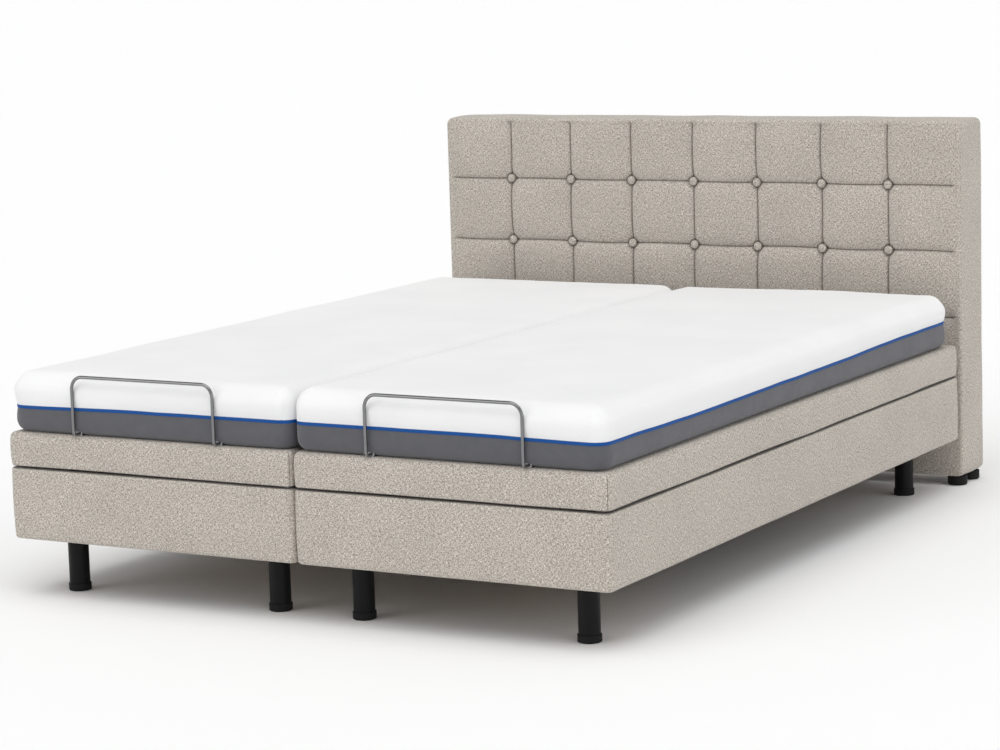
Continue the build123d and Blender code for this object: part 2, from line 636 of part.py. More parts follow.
shared("corner_blocks", list(corner_blocks()))
shared("legs", [leg_tube(x, y) for x, y in leg_places()])
shared("leg_glides", [leg_glide(x, y) for x, y in leg_places()])
shared("leg_plates", [leg_plate(x, y) for x, y in leg_places()])
shared("frame_bolts", [bolt for x, y in leg_places() for bolt in leg_bolts(x, y)] + list(connecting_bolts()))
shared("hinge_pins", [hinge_pin(SECTION_ENDS["thigh"]), hinge_pin(SECTION_ENDS["seat"])])
shared("control_boxes", control_box())
shared("headboard_feet", list(headboard_feet()))
shared("headboard_brackets", list(headboard_brackets()))
save("connecting_bars", list(connecting_bars()))
save("headboard_frame", [headboard_frame()])
save("headboard_cushion", [headboard_cushion()])
save("headboard_buttons", [headboard_button(x, z) for x, z in button_places()])
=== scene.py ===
import json
import math

import bmesh
import bpy
import numpy as np
from mathutils import Matrix, Vector

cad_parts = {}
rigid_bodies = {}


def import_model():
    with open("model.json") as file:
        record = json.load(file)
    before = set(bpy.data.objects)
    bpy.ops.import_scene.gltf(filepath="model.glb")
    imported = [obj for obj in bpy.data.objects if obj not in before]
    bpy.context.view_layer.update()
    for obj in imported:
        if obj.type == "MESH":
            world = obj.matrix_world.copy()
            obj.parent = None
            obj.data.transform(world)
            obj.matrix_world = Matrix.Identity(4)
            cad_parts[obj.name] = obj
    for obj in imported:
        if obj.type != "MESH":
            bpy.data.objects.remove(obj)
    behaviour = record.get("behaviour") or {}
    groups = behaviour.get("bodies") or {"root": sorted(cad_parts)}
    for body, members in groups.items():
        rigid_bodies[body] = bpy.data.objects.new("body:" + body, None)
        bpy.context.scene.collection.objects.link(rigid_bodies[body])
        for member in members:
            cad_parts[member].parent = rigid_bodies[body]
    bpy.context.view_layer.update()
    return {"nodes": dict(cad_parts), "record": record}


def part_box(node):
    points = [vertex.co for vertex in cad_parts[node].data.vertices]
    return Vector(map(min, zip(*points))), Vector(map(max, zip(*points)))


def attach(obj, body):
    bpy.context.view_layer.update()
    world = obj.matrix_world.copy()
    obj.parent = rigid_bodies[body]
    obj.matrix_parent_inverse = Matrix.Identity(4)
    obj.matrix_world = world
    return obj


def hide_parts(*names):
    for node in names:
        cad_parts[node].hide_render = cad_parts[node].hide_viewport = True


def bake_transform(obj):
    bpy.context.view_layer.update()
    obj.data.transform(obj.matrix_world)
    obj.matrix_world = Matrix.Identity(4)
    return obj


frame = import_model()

# Adjustable double bed. Metres, in the CAD frame: +X right seen from the foot, +Y to the headboard, +Z up.

SIDES = ("left", "right")
MM = 0.001
SAME_PLACE = 1e-6               # places nearer than this count as one


# ---- mesh helpers -------------------------------------------------------------------------------
def ripple(points, wavelength, seed, waves=8):
    """Smooth, repeatable unevenness between about -1 and 1: a few plane waves in mixed directions."""
    random = np.random.default_rng(seed)
    total = np.zeros(len(points))
    for _ in range(waves):
        direction = random.normal(size=3)
        direction /= np.linalg.norm(direction)
        length = wavelength * random.uniform(0.6, 1.6)
        total += np.sin(points @ direction * 2 * math.pi / length + random.uniform(0, 2 * math.pi))
    return total / math.sqrt(waves)


def smooth_step(value):
    t = np.clip(value, 0.0, 1.0)
    return t * t * (3 - 2 * t)


def remember_rest(mesh):
    """Stores each point's rest place, and weave coordinates that lie flat on each face, for the materials."""
    count = len(mesh.vertices)
    co = np.empty(count * 3, np.float32)
    mesh.vertices.foreach_get("co", co)
    mesh.attributes.new("rest", "FLOAT_VECTOR", "POINT").data.foreach_set("vector", co)
    co = co.reshape(-1, 3)
    loops = np.empty(len(mesh.loops), np.int32)
    mesh.loops.foreach_get("vertex_index", loops)
    normals = np.empty(len(mesh.polygons) * 3, np.float32)
    mesh.polygons.foreach_get("normal", normals)
    totals = np.empty(len(mesh.polygons), np.int32)
    mesh.polygons.foreach_get("loop_total", totals)
    facing = np.repeat(np.abs(normals.reshape(-1, 3)).argmax(1), totals)
    across = np.array([[1, 2], [0, 2], [0, 1]])[facing]
    flat = np.zeros((len(loops), 3), np.float32)
    flat[:, :2] = np.take_along_axis(co[loops], across, axis=1)
    mesh.attributes.new("weave", "FLOAT_VECTOR", "CORNER").data.foreach_set("vector", flat.ravel())


def make_piece(name, points, quads, materials, face_slots=None, sharp_at=(), seam=None):
    """Smooth-shaded closed mesh. Edges that lie on a plane of constant Y listed in sharp_at stay sharp.
    seam is 1 at the points on a sewn line, where the cloth is sunk in and painted crease shade darkens its
    colour, and 0 away from it."""
    mesh = bpy.data.meshes.new(name)
    mesh.from_pydata(np.asarray(points, float).tolist(), [], [list(map(int, q)) for q in quads])
    made = bmesh.new()
    made.from_mesh(mesh)
    bmesh.ops.recalc_face_normals(made, faces=made.faces)
    for edge in made.edges:
        edge.smooth = not any(all(abs(v.co.y - cut) < SAME_PLACE for v in edge.verts) for cut in sharp_at)
    made.to_mesh(mesh)
    made.free()
    mesh.polygons.foreach_set("use_smooth", np.ones(len(mesh.polygons), bool))
    for material in materials:
        mesh.materials.append(material)
    if face_slots is not None:
        mesh.polygons.foreach_set("material_index", np.asarray(face_slots, np.int32))
    remember_rest(mesh)
    if seam is not None:
        mesh.attributes.new("seam", "FLOAT", "POINT").data.foreach_set("value", np.asarray(seam, np.float32))
    piece = bpy.data.objects.new(name, mesh)
    bpy.context.scene.collection.objects.link(piece)
    return piece


def lines(low, high, step, edge=(), marks=(), fine=0.0):
    """Grid lines from low to high: offsets near both ends, marked places, and an even step between them.
    Fixed lines nearer to each other than fine are merged."""
    fixed = sorted({round(v, 6) for v in [low, high] + [low + e for e in edge] + [high - e for e in edge]
                    + [m for m in marks if low < m < high]})
    merged = [fixed[0]]
    for value in fixed[1:]:
        if value - merged[-1] > max(fine, 1e-5):
            merged.append(value)
    merged[-1] = high
    spaced = []
    for a, b in zip(merged[:-1], merged[1:]):
        spaced += list(np.linspace(a, b, max(1, math.ceil((b - a) / step - 1e-6)), endpoint=False))
    return np.array(spaced + [high])


def round_off(u, v):
    """Carries the square corner zone u, v >= 0 onto a quarter disc."""
    size = np.hypot(u, v)
    scale = np.where((u > 0) & (v > 0), np.maximum(u, v) / np.where(size > 0, size, 1), 1.0)
    return u * scale, v * scale


class Slab:
    """A cushion-like slab on a box lattice, with rounded vertical corners, top edge and bottom edge.
    raw is the square lattice, points the rounded shape, depth the distance from the outline and normal the
    outline's outward direction."""

    def __init__(self, low, high, grid, corner, top, bottom):
        self.low, self.high = np.array(low), np.array(high)
        self.ids = np.full([len(g) for g in grid], -1)
        inside = np.zeros(self.ids.shape, bool)
        inside[1:-1, 1:-1, 1:-1] = True
        where = np.argwhere(~inside)
        self.ids[~inside] = np.arange(len(where))
        self.raw = np.stack([grid[axis][where[:, axis]] for axis in range(3)], axis=1)
        self.round_edges(corner, top, bottom)

    def round_edges(self, corner, top, bottom):
        """Carries the square lattice onto the rounded shape: first the corners in plan, then both edges."""
        raw = self.raw
        x0, y0, z0 = self.low
        x1, y1, z1 = self.high
        side_x = np.where(raw[:, 0] > (x0 + x1) / 2, 1.0, -1.0)
        side_y = np.where(raw[:, 1] > (y0 + y1) / 2, 1.0, -1.0)
        dx = np.minimum(raw[:, 0] - x0, x1 - raw[:, 0])
        dy = np.minimum(raw[:, 1] - y0, y1 - raw[:, 1])
        self.depth = np.minimum(dx, dy)
        u, v = np.maximum(corner - dx, 0), np.maximum(corner - dy, 0)
        ru, rv = round_off(u, v)
        in_corner = (u > 0) & (v > 0)
        px = np.where(in_corner, side_x * (ru - u), 0)
        py = np.where(in_corner, side_y * (rv - v), 0)
        length = np.where(in_corner, np.hypot(ru, rv), 1)
        length = np.where(length > 0, length, 1)
        nx = np.where(in_corner, side_x * ru / length, np.where(dx <= dy, side_x, 0))
        ny = np.where(in_corner, side_y * rv / length, np.where(dx <= dy, 0, side_y))
        shift = np.zeros(len(raw))
        z = raw[:, 2].copy()
        for edge, radius, sign in ((z1, top, 1), (z0, bottom, -1)):
            a = np.maximum(radius - self.depth, 0)
            b = np.maximum(radius - sign * (edge - raw[:, 2]), 0)
            ra, rb = round_off(a, b)
            shift += a - ra
            z += sign * (rb - b)
        self.normal = np.stack([nx, ny], axis=1)
        self.points = np.stack([raw[:, 0] + px - nx * shift, raw[:, 1] + py - ny * shift, z], axis=1)

    def push_out(self, amount):
        """Moves the points sideways along the outline's normal."""
        self.points[:, :2] += self.normal * np.asarray(amount)[:, None]

    def quads(self):
        ids = self.ids
        found = []
        for grid in (ids[0], ids[-1], ids[:, 0], ids[:, -1], ids[:, :, 0], ids[:, :, -1]):
            corners = [grid[:-1, :-1], grid[1:, :-1], grid[1:, 1:], grid[:-1, 1:]]
            found.append(np.stack(corners, -1).reshape(-1, 4))
        return np.concatenate(found)


def arc_offsets(radius, count):
    """Distances from the edge that spread evenly around a rounded edge."""
    return [radius * (1 - math.cos(math.pi / 2 * i / count)) if i else 0.0 for i in range(count + 1)]


# ---- materials ----------------------------------------------------------------------------------
def add(tree, kind, inputs=None, **settings):
    node = tree.nodes.new(kind)
    for key, value in settings.items():
        setattr(node, key, value)
    for key, value in (inputs or {}).items():
        if isinstance(value, bpy.types.NodeSocket):
            tree.links.new(value, node.inputs[key])
        else:
            node.inputs[key].default_value = value
    return node


def new_material(name, **constants):
    """A material with a Principled shader whose constant sockets are set directly."""
    material = bpy.data.materials.new(name)
    material.use_nodes = True
    tree = material.node_tree
    shader = tree.nodes["Principled BSDF"]
    for key, value in constants.items():
        shader.inputs[key.replace("_", " ")].default_value = value
    return material, tree, shader


def stored(tree, name):
    return add(tree, "ShaderNodeAttribute", attribute_name=name).outputs["Vector"]


def scaled(tree, vector, factors):
    return add(tree, "ShaderNodeVectorMath", {0: vector, 1: factors}, operation="MULTIPLY").outputs[0]


def noise(tree, vector, scale, detail=2.0, roughness=0.5):
    return add(tree, "ShaderNodeTexNoise", {"Vector": vector, "Scale": scale, "Detail": detail,
                                            "Roughness": roughness}).outputs["Fac"]


def maths(tree, operation, a, b=0.0):
    return add(tree, "ShaderNodeMath", {0: a, 1: b}, operation=operation).outputs[0]


def ramp(tree, value, low, high, a, b):
    return add(tree, "ShaderNodeMapRange", {"Value": value, "From Min": low, "From Max": high,
                                            "To Min": a, "To Max": b}).outputs["Result"]


def blend_colours(tree, factor, a, b):
    return add(tree, "ShaderNodeMix", {0: factor, 6: a, 7: b}, data_type="RGBA").outputs[2]


def paint(tree, shader, colour, roughness=None):
    """Gives the shader its colour and, when there is one, its varying roughness."""
    tree.links.new(colour, shader.inputs["Base Color"])
    if roughness is not None:
        tree.links.new(roughness, shader.inputs["Roughness"])


def bump(tree, shader, height, strength, distance):
    normal = add(tree, "ShaderNodeBump", {"Height": height, "Strength": strength, "Distance": distance})
    tree.links.new(normal.outputs[0], shader.inputs["Normal"])


def crossed_yarns(tree, weave, pitch):
    """Height of a plain weave: yarns over and under each other, pitch metres apart."""
    split = add(tree, "ShaderNodeSeparateXYZ", {0: weave})
    wave = [maths(tree, "SINE", maths(tree, "MULTIPLY", split.outputs[i], math.pi / pitch)) for i in (0, 1)]
    return maths(tree, "MULTIPLY", *wave)


def greige_weave():
    """Melange upholstery cloth: pale warm yarns with darker and lighter slubs both ways, and painted crease
    shade along the sewn lines.
    """
    material, tree, shader = new_material("greige_weave", Roughness=0.92, Sheen_Weight=0.18,
                                          Sheen_Roughness=0.45, Specular_IOR_Level=0.2)
    rest, weave = stored(tree, "rest"), stored(tree, "weave")
    grain = noise(tree, rest, 1100, 1.0)
    slub_across = noise(tree, scaled(tree, weave, (170, 900, 1)), 1.0, 0.0)
    slub_along = noise(tree, scaled(tree, weave, (900, 170, 1)), 1.0, 0.0)
    cloud = noise(tree, rest, 7)
    dark_across = ramp(tree, slub_across, 0.48, 0.62, 0, 1)
    dark_along = ramp(tree, slub_along, 0.49, 0.63, 0, 1)
    dark = maths(tree, "MAXIMUM", dark_across, dark_along)
    light = ramp(tree, grain, 0.42, 0.58, 0, 1)
    base = blend_colours(tree, light, (0.460, 0.413, 0.358, 1), (0.860, 0.812, 0.746, 1))
    spun = blend_colours(tree, maths(tree, "MULTIPLY", dark, 0.82), base, (0.215, 0.188, 0.158, 1))
    tone = ramp(tree, cloud, 0.3, 0.7, 0.96, 1.04)
    tinted = add(tree, "ShaderNodeHueSaturation", {"Color": spun, "Value": tone}).outputs[0]
    # painted shade: the seam attribute blends the colour toward near-black along sewn creases and folds
    seam = add(tree, "ShaderNodeAttribute", attribute_name="seam").outputs["Fac"]
    crease_shaded = blend_colours(tree, maths(tree, "MULTIPLY", seam, 0.75), tinted, (0.060, 0.050, 0.040, 1))
    paint(tree, shader, crease_shaded)
    yarns = crossed_yarns(tree, weave, 1.5 * MM)
    height = maths(tree, "ADD", maths(tree, "MULTIPLY", yarns, 0.5), maths(tree, "MULTIPLY", grain, 1.4))
    bump(tree, shader, height, 0.55, 0.6 * MM)
    return material


def shade_dark_lining():
    """Black felt-like cloth on the sides that face the frame; its near-black is also painted shade for the
    insides of the boxes and the cover's underside.
    """
    material, tree, shader = new_material("shade_dark_lining", Roughness=0.95)
    fibres = noise(tree, stored(tree, "rest"), 900, 3.0)
    paint(tree, shader, blend_colours(tree, fibres, (0.016, 0.016, 0.017, 1), (0.05, 0.05, 0.052, 1)))
    bump(tree, shader, fibres, 0.3, 0.3 * MM)
    return material


def white_knit():
    """Soft white jersey with a fine honeycomb."""
    material, tree, shader = new_material("white_knit", Roughness=0.9, Sheen_Weight=0.15)
    rest, weave = stored(tree, "rest"), stored(tree, "weave")
    voronoi = add(tree, "ShaderNodeTexVoronoi", {"Vector": weave, "Scale": 260.0}, voronoi_dimensions="2D")
    cells = voronoi.outputs["Distance"]
    patch = ramp(tree, noise(tree, rest, 5), 0.35, 0.65, 0, 1)
    tone = blend_colours(tree, patch, (0.79, 0.79, 0.795, 1), (0.815, 0.815, 0.815, 1))
    hollows = ramp(tree, cells, 0.2, 0.7, 0, 0.10)
    paint(tree, shader, blend_colours(tree, hollows, tone, (0.70, 0.70, 0.71, 1)))
    fuzz = maths(tree, "MULTIPLY", noise(tree, rest, 900), 0.4)
    bump(tree, shader, maths(tree, "ADD", cells, fuzz), 0.25, 0.4 * MM)
    return material


def grey_border():
    """Mattress border: charcoal spacer mesh with fine ribs."""
    material, tree, shader = new_material("grey_border", Roughness=0.85, Sheen_Weight=0.2)
    rest, weave = stored(tree, "rest"), stored(tree, "weave")
    yarns = crossed_yarns(tree, weave, 1.2 * MM)
    patch = ramp(tree, noise(tree, rest, 40, 3.0), 0.3, 0.7, 0, 1)
    tone = blend_colours(tree, patch, (0.087, 0.088, 0.100, 1), (0.100, 0.100, 0.113, 1))
    ribs = ramp(tree, yarns, -0.4, 0.9, 0, 0.5)
    paint(tree, shader, blend_colours(tree, ribs, tone, (0.055, 0.055, 0.063, 1)))
    bump(tree, shader, yarns, 0.4, 0.35 * MM)
    return material


def blue_piping():
    """Blue cord cover, its fibres running along the seam."""
    material, tree, shader = new_material("blue_piping", Roughness=0.6, Specular_IOR_Level=0.2)
    fibres = noise(tree, scaled(tree, stored(tree, "rest"), (600, 600, 2500)), 1.0)
    paint(tree, shader, blend_colours(tree, fibres, (0.003, 0.055, 0.23, 1), (0.007, 0.085, 0.32, 1)))
    bump(tree, shader, fibres, 0.3, 0.2 * MM)
    return material


def object_coords(tree):
    return add(tree, "ShaderNodeTexCoord").outputs["Object"]


def powder_coat():
    """Black powder coat with a slight orange peel."""
    material, tree, shader = new_material("powder_coat", Specular_IOR_Level=0.16)
    place = object_coords(tree)
    orange_peel = noise(tree, place, 700)
    worn = noise(tree, place, 25, 3.0)
    black = blend_colours(tree, worn, (0.0035, 0.0035, 0.004, 1), (0.006, 0.006, 0.0065, 1))
    paint(tree, shader, black, ramp(tree, worn, 0.3, 0.7, 0.38, 0.52))
    bump(tree, shader, orange_peel, 0.25, 0.2 * MM)
    return material


def moulded_plastic():
    """Black plastic with the fine grain of an eroded mould."""
    material, tree, shader = new_material("moulded_plastic", Roughness=0.6, Specular_IOR_Level=0.18)
    spark = noise(tree, object_coords(tree), 1800)
    paint(tree, shader, blend_colours(tree, spark, (0.005, 0.005, 0.005, 1), (0.011, 0.011, 0.011, 1)))
    bump(tree, shader, spark, 0.35, 0.12 * MM)
    return material


def polished_chrome():
    """Chrome, darker than the real metal because everything around it is pale."""
    material, tree, shader = new_material("polished_chrome", Metallic=1.0)
    place = object_coords(tree)
    smudge = noise(tree, place, 30, 4.0)
    chrome = blend_colours(tree, smudge, (0.19, 0.19, 0.195, 1), (0.26, 0.26, 0.265, 1))
    paint(tree, shader, chrome, ramp(tree, smudge, 0.3, 0.7, 0.03, 0.10))
    bump(tree, shader, noise(tree, scaled(tree, place, (2000, 120, 2000)), 1.0), 0.03, 0.05 * MM)
    return material


def zinc_plate():
    """Zinc plating with faint spangles."""
    material, tree, shader = new_material("zinc_plate", Metallic=1.0)
    place = object_coords(tree)
    spangle = add(tree, "ShaderNodeTexVoronoi", {"Vector": place, "Scale": 160.0}).outputs["Distance"]
    zinc = blend_colours(tree, spangle, (0.34, 0.35, 0.36, 1), (0.48, 0.49, 0.50, 1))
    paint(tree, shader, zinc, ramp(tree, noise(tree, place, 60, 3.0), 0.3, 0.7, 0.28, 0.45))
    return material


def wood(name, stretch, pale, brown):
    """Wood, with its grain along the axis where stretch is smallest."""
    material, tree, shader = new_material(name, Roughness=0.7)
    place = object_coords(tree)
    grain = add(tree, "ShaderNodeTexNoise", {"Vector": scaled(tree, place, stretch), "Scale": 1.0,
                                             "Detail": 6.0, "Distortion": 1.4}).outputs["Fac"]
    pores = noise(tree, scaled(tree, place, tuple(8 * s for s in stretch)), 1.0)
    tone = blend_colours(tree, ramp(tree, grain, 0.35, 0.65, 0, 1), pale, brown)
    dark_pores = ramp(tree, pores, 0.6, 0.75, 0, 0.35)
    paint(tree, shader, blend_colours(tree, dark_pores, tone, (0.2, 0.12, 0.06, 1)))
    bump(tree, shader, pores, 0.2, 0.3 * MM)
    return material


FABRIC = greige_weave()
SHADE_LINING = shade_dark_lining()
KNIT = white_knit()
BORDER = grey_border()
PIPING = blue_piping()
NODE_MATERIALS = {
    "black_steel": powder_coat(),
    "black_plastic": moulded_plastic(),
    "chrome": polished_chrome(),
    "zinc_steel": zinc_plate(),
    "plywood": wood("plywood", (14, 2, 60), (0.60, 0.42, 0.24, 1), (0.42, 0.27, 0.14, 1)),
    "timber": wood("timber", (3, 40, 40), (0.62, 0.43, 0.23, 1), (0.46, 0.29, 0.14, 1)),
}


def dress_cad_nodes():
    """Gives the CAD meshes that stay visible the material of their slot."""
    slots = {part["node"]: part["material_slot"] for part in frame["record"]["subparts"]}
    for name, node in frame["nodes"].items():
        material = NODE_MATERIALS.get(slots[name])
        if material:
            for place in node.material_slots:
                place.material = material


# ---- places read from the frame -----------------------------------------------------------------
FOOT_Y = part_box("base_box_right")[0].y


def pad_box(kind, side):
    """Lowest and highest corner of the four sections of a half's platform or mattress together."""
    corners = [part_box(f"{section}_{kind}_{side}") for section in ("calf", "thigh", "seat", "back")]
    low = [min(c[0][axis] for c in corners) for axis in range(3)]
    high = [max(c[1][axis] for c in corners) for axis in range(3)]
    return low, high


def part_run(part, cuts, low, high):
    """Where a foot, seat or back part of a soft piece starts and ends, along Y."""
    first, last = {"foot": (0.0, cuts[0]), "seat": cuts, "back": (cuts[1], math.inf)}[part]
    return max(low[1], FOOT_Y + first), min(high[1], FOOT_Y + last)


def within(values, start, end):
    return values[(values > start - SAME_PLACE) & (values < end + SAME_PLACE)]


def cut_faces(run, low, high):
    """The ends of a part that meet another part, where the shading stays sharp."""
    return [y for y in run if low[1] + SAME_PLACE < y < high[1] - SAME_PLACE]


def bend(piece):
    """Bakes a soft piece's placement into its mesh; the piece is not joined to any body."""
    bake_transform(piece)


# ---- mattresses ---------------------------------------------------------------------------------
PIPING_Z = 61 * MM              # piping's centre above the mattress's underside
PIPING_HALF = 4.0 * MM
PIPING_PROUD = 2.6 * MM         # how far the piping stands out of its groove
PIPING_GROOVE = 3.0 * MM
PIPING_CLIMB_MIDDLE = 4.5 * MM  # toward the bed's middle, near the foot
PIPING_CLIMB_HEAD = 8.5 * MM
PIPING_DIP = 3.5 * MM           # a quarter of the way from foot to head
KNIT_SWELL = 3.5 * MM
BORDER_SWELL = 2.0 * MM
TOP_DOME = 3.0 * MM
TOP_WAVE = 1.3 * MM
EDGE_CREASE = 0.45 * MM
SIDE_WAVE = 1.2 * MM
MATTRESS_CORNER = 40 * MM
MATTRESS_TOP_EDGE = 46 * MM
MATTRESS_LOW_EDGE = 28 * MM
MATTRESS_CUTS = (850 * MM, 1080 * MM)


def mattress_grid(low, high, run):
    """Lattice lines of one part, closer together at the rounded edges and the piping."""
    edge = arc_offsets(MATTRESS_CORNER, 8) + arc_offsets(MATTRESS_TOP_EDGE, 6)
    x_lines = lines(low[0], high[0], 16 * MM, edge, fine=1.5 * MM)
    y_lines = lines(low[1], high[1], 13 * MM, edge, run, fine=1.5 * MM)
    bead = [low[2] + PIPING_Z + PIPING_HALF * t for t in (-1.25, -1.0, -0.7, 0.0, 0.7, 1.0, 1.25)]
    top_edge = [high[2] - v for v in arc_offsets(MATTRESS_TOP_EDGE, 6)]
    low_edge = arc_offsets(MATTRESS_LOW_EDGE, 5)
    z_lines = lines(low[2], high[2], 9 * MM, low_edge, bead + top_edge, fine=0.5 * MM)
    return x_lines, within(y_lines, *run), z_lines


def swell_sides(slab, low, high, outer):
    """Fullness above and below the piping, the groove it lies in and its own roundness."""
    seam = low[2] + PIPING_Z
    raw_z = slab.raw[:, 2]
    above = np.clip((raw_z - seam) / (high[2] - seam), 0, 1)
    below = np.clip((seam - raw_z) / (seam - low[2]), 0, 1)
    off_seam = np.abs(raw_z - seam) / PIPING_HALF
    piping = np.where(off_seam < 1.01, PIPING_PROUD * np.sqrt(np.clip(1 - off_seam ** 2, 0, 1)), 0)
    swell = KNIT_SWELL * np.sin(math.pi * np.clip(above * 1.3, 0, 1)) + BORDER_SWELL * np.sin(math.pi * below)
    slab.push_out((swell - PIPING_GROOVE * np.exp(-off_seam / 3) + piping - 1.0 * MM) * outer)


def soften(slab, low, high, outer, seed):
    """A slightly domed, uneven top with small creases toward its edges, and uneven sides."""
    seam = low[2] + PIPING_Z
    points = slab.points
    crease = ripple(points * [1, 0.35, 0.2], 0.11, seed)
    wave = ripple(points, 0.42, seed + 1)
    middle = smooth_step(slab.depth / 0.12)
    lift = TOP_DOME * (middle - 1) + TOP_WAVE * wave + EDGE_CREASE * crease * (1 - middle)
    on_top = smooth_step((points[:, 2] - seam) / (high[2] - seam))
    points[:, 2] += lift * on_top
    side_wave = SIDE_WAVE * ripple(points * [1, 1, 0.4], 0.16, seed + 2)
    off_base = smooth_step((slab.raw[:, 2] - low[2]) / 0.02)
    slab.push_out(side_wave * outer * off_base * (1 - on_top))


def raise_seam(slab, low, high, side):
    """The sewn cover sits unevenly: its piping climbs toward the bed's middle and toward the head."""
    points, raw_z = slab.points, slab.raw[:, 2]
    along = (points[:, 1] - low[1]) / (high[1] - low[1])
    to_middle = high[0] - points[:, 0] if side == "right" else points[:, 0] - low[0]
    rise = PIPING_CLIMB_MIDDLE * smooth_step(to_middle / 0.35) * smooth_step(1 - along / 0.3)
    rise += PIPING_CLIMB_HEAD * smooth_step((along - 0.5) / 0.4)
    rise -= PIPING_DIP * np.exp(-((along - 0.25) / 0.12) ** 2)
    seam = low[2] + PIPING_Z
    reach = np.where(raw_z > seam, high[2] - MATTRESS_TOP_EDGE - seam, seam - low[2] - MATTRESS_LOW_EDGE)
    points[:, 2] += rise * smooth_step(1 - np.abs(raw_z - seam) / reach)


def mattress_part(part, side, seed):
    low, high = pad_box("mattress", side)
    run = part_run(part, MATTRESS_CUTS, low, high)
    slab = Slab(low, high, mattress_grid(low, high, run), MATTRESS_CORNER, MATTRESS_TOP_EDGE,
                MATTRESS_LOW_EDGE)
    inner_side = slab.normal[:, 0] * (1 if side == "left" else -1) > 0.5
    outer = np.clip(1 - slab.depth / 0.05, 0, 1) * ~inner_side
    swell_sides(slab, low, high, outer)
    soften(slab, low, high, outer, seed)
    raise_seam(slab, low, high, side)
    quads = slab.quads()
    level = slab.raw[:, 2][quads].mean(1) - low[2] - PIPING_Z
    slots = np.where(np.abs(level) < PIPING_HALF, 2, np.where(level < 0, 1, 0))
    return make_piece(f"mattress_{part}_{side}", slab.points, quads, [KNIT, BORDER, PIPING], slots,
                      cut_faces(run, low, high))


def build_mattresses():
    stands_for = {"foot": ("calf",), "seat": ("thigh", "seat"), "back": ("back",)}
    for number, side in enumerate(SIDES):
        for part, sections in stands_for.items():
            piece = mattress_part(part, side, 40 + 10 * number)
            bend(piece)
            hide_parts(*[f"{section}_mattress_{side}" for section in sections])


# ---- upholstered platform -----------------------------------------------------------------------
COVER_CORNER = 18 * MM
COVER_TOP_EDGE = 14 * MM
COVER_BOTTOM_EDGE = 5 * MM
COVER_SWELL = 2.5 * MM
COVER_UNEVEN = 0.7 * MM
BOTTOM_EDGE_WAVE = 0.9 * MM
COVER_CUTS = (820 * MM, 1115 * MM)
COVER_ZONES = {"knee": (575 * MM, 725 * MM), "thigh": (930 * MM, 1050 * MM), "back": (1180 * MM, 1300 * MM)}
RIM = 14 * MM                   # the cover wraps this far under the deck boards


def cover_grid(low, high, run):
    """Lattice lines of one part, closer together at the edges, the rim and the folds."""
    edge = arc_offsets(COVER_CORNER, 6) + arc_offsets(COVER_TOP_EDGE, 5) + [RIM, RIM + 0.8 * MM]
    folds = [FOOT_Y + v for zone in COVER_ZONES.values() for v in np.linspace(*zone, 15)]
    x_lines = lines(low[0], high[0], 24 * MM, edge, fine=0.7 * MM)
    y_lines = lines(low[1], high[1], 18 * MM, edge, [*run, *folds], fine=0.7 * MM)
    z_lines = lines(low[2], high[2], 8 * MM, arc_offsets(COVER_TOP_EDGE, 5), fine=0.5 * MM)
    return x_lines, within(y_lines, *run), z_lines


def sew_cover(slab, low, high, seed):
    """Shapes the fullness of the sides, the corner seams and the bottom edge; gives the sewn lines and the
    bottom fold, where the colour gets painted crease shade.
    """
    above = slab.raw[:, 2] - low[2]
    outer = np.clip(1 - slab.depth / 0.03, 0, 1)
    swell = COVER_SWELL * np.sin(math.pi * above / (high[2] - low[2]))
    swell += COVER_UNEVEN * ripple(slab.points * [1, 1, 0.5], 0.19, seed)
    slab.push_out((swell - 1.5 * MM) * outer)
    corner_line = np.hypot(*(np.abs(slab.normal) - math.sqrt(0.5)).T) < 0.03
    on_side = (slab.depth < SAME_PLACE) & (above > COVER_BOTTOM_EDGE)
    # painted shade: full crease shade in the colour along the corner seams
    seam = (corner_line & on_side).astype(float)
    slab.push_out(-1.6 * MM * seam)
    # painted shade along the bottom fold, where the cover sits over the box
    seam += 0.9 * (above < 1.2 * MM)
    near_bottom = smooth_step(1 - above / 0.03)
    wave = BOTTOM_EDGE_WAVE * ripple(slab.points * [1, 1, 0], 0.45, seed + 5)
    slab.points[:, 2] += wave * near_bottom * outer
    return seam


def cover_part(part, side, seed):
    low, high = pad_box("pad", side)
    deck_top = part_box(f"seat_deck_{side}")[1].z + 0.3 * MM
    run = part_run(part, COVER_CUTS, low, high)
    slab = Slab(low, high, cover_grid(low, high, run), COVER_CORNER, COVER_TOP_EDGE, COVER_BOTTOM_EDGE)
    seam = sew_cover(slab, low, high, seed)
    underside = (slab.raw[:, 2] < low[2] + SAME_PLACE) & (slab.depth > RIM + 0.4 * MM)
    slab.points[underside, 2] = deck_top
    quads = slab.quads()
    # the underside faces get the near-black cloth, painted shade where the cover lies on the deck
    shade_lined = underside[quads].all(1).astype(int)
    return make_piece(f"platform_cover_{part}_{side}", slab.points, quads, [FABRIC, SHADE_LINING], shade_lined,
                      cut_faces(run, low, high), seam)


def build_platforms():
    stands_for = {"foot": ("calf", "thigh"), "seat": ("seat",), "back": ("back",)}
    for number, side in enumerate(SIDES):
        for part, sections in stands_for.items():
            piece = cover_part(part, side, 70 + 10 * number)
            bend(piece)
            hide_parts(*[f"{section}_pad_{side}" for section in sections])


# ---- upholstered lower boxes --------------------------------------------------------------------
BOX_WALL = 25 * MM
BOX_CORNER = 17 * MM
BOX_BULGE = 2.0 * MM            # fullness of the padded outer side
BOX_UNEVEN = 0.8 * MM


